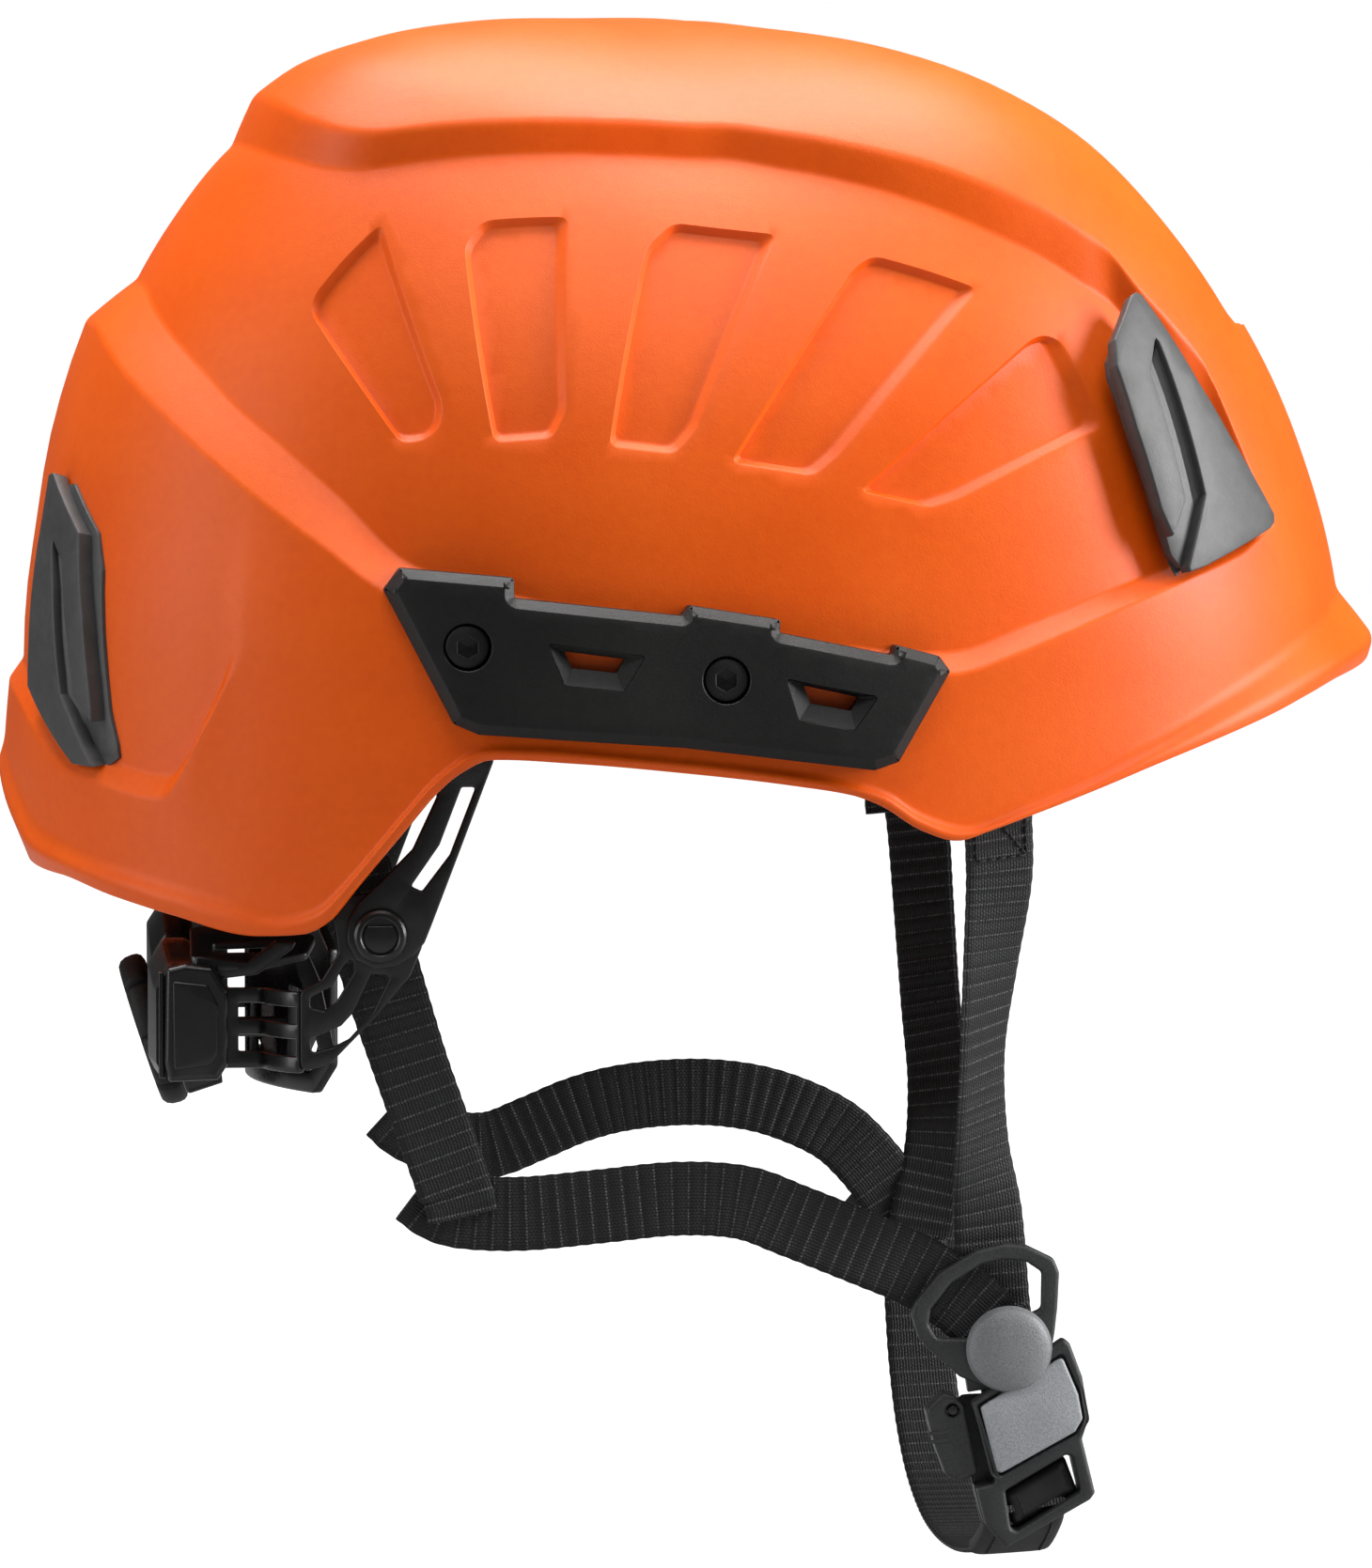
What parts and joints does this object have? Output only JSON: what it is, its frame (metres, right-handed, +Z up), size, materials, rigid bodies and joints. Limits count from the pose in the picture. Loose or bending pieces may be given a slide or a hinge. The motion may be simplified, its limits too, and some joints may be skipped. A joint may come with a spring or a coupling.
{
  "type": "climbing helmet",
  "caption": "Hard-shell climbing helmet with foam liner, side rails, lamp clips, dial-adjusted nape cradle, webbing harness and chin buckle.",
  "frame": {"origin": "centre of the crown pad's flat underside, where the crown of the head bears", "axes": "+Z up, +X forward to the brim, the wearer's right side is -Y"},
  "size_m": [0.2914, 0.2322, 0.3246],
  "materials": {
    "shell_orange": "spark-textured satin",
    "foam": "beaded foam",
    "pad_fabric": "knitted",
    "rail_black": "fine texture",
    "nylon_black": "satin",
    "clip_grey": "fine texture",
    "steel": "zinc",
    "webbing": "ribbed webbing",
    "buckle_grey": "matt",
    "band_black": "satin",
    "grip_rubber": "matt rubber"
  },
  "bodies": {
    "shell": {"right_accessory_rail": "rail_black", "left_accessory_rail": "rail_black", "right_rear_rail_screw": "rail_black", "left_rear_rail_screw": "rail_black", "right_rear_rail_insert": "steel", "left_rear_rail_insert": "steel", "right_front_rail_screw": "rail_black", "left_front_rail_screw": "rail_black", "right_front_rail_insert": "steel", "left_front_rail_insert": "steel", "right_front_lamp_clip": "clip_grey", "left_front_lamp_clip": "clip_grey", "right_rear_lamp_clip": "clip_grey", "left_rear_lamp_clip": "clip_grey", "foam_liner": "foam", "crown_pad": "pad_fabric", "headband": "nylon_black", "brow_pad": "pad_fabric", "right_front_strap": "webbing", "left_front_strap": "webbing", "right_rear_strap": "webbing", "left_rear_strap": "webbing", "right_lower_strap": "webbing", "left_lower_strap": "webbing", "right_front_strap_anchor": "nylon_black", "left_front_strap_anchor": "nylon_black", "right_rear_strap_anchor": "nylon_black", "left_rear_strap_anchor": "nylon_black", "right_hanger": "nylon_black", "left_hanger": "nylon_black", "right_hanger_clip": "nylon_black", "left_hanger_clip": "nylon_black", "right_pivot_button": "steel", "left_pivot_button": "steel", "right_strap_divider": "nylon_black", "left_strap_divider": "nylon_black", "right_divider_cap": "nylon_black", "left_divider_cap": "nylon_black", "buckle_tongue": "nylon_black", "tongue_strap": "webbing", "outer_shell": "shell_orange"},
    "yoke": {"right_yoke_arm": "band_black", "left_yoke_arm": "band_black"},
    "cradle": {"adjuster_housing": "nylon_black", "adjuster_cover": "nylon_black", "nape_frame": "nylon_black", "nape_pad": "pad_fabric"},
    "dial": {"dial_knob": "nylon_black", "dial_grip": "grip_rubber", "dial_screw": "steel", "pinion": "steel"},
    "right_rack": {"right_rack": "band_black"},
    "left_rack": {"left_rack": "band_black"},
    "buckle": {"buckle_body": "nylon_black", "buckle_plate": "buckle_grey", "lever_pin": "steel", "chin_strap": "webbing", "strap_sleeve": "webbing"},
    "lever": {"release_lever": "nylon_black"}
  },
  "joints": [
    {"name": "cradle_tilt", "type": "hinge", "parent": "shell", "child": "yoke", "pos_m": [-0.0685, 0, -0.14605], "axis": [0, 1, 0], "range_deg": [-30, 8]},
    {"name": "cradle_draw", "type": "slide", "parent": "yoke", "child": "cradle", "axis": [1, 0, 0], "range_m": [-0.0055, 0.0055]},
    {"name": "dial_turn", "type": "hinge", "parent": "cradle", "child": "dial", "pos_m": [-0.1085, 0, -0.171], "axis": [0.9511, 0, 0.309], "range_deg": [-90, 90]},
    {"name": "right_rack_slide", "type": "slide", "parent": "cradle", "child": "right_rack", "axis": [0, 1, 0], "range_m": [-0.0051, 0.0051]},
    {"name": "left_rack_slide", "type": "slide", "parent": "cradle", "child": "left_rack", "axis": [0, -1, 0], "range_m": [-0.0051, 0.0051]},
    {"name": "buckle_release", "type": "slide", "parent": "shell", "child": "buckle", "axis": [0.155, 0, -0.9879], "range_m": [0, 0.025]},
    {"name": "lever_press", "type": "hinge", "parent": "buckle", "child": "lever", "pos_m": [0.0479, -0.0776, -0.2442], "axis": [0, -1, 0], "range_deg": [0, 9], "stiffness_Nm_per_rad": 0.02}
  ],
  "couplings": [
    {"joint": "cradle_draw", "follows": "dial_turn", "m_per_rad": 0.0032},
    {"joint": "right_rack_slide", "follows": "dial_turn", "m_per_rad": 0.0032},
    {"joint": "left_rack_slide", "follows": "dial_turn", "m_per_rad": 0.0032}
  ]
}
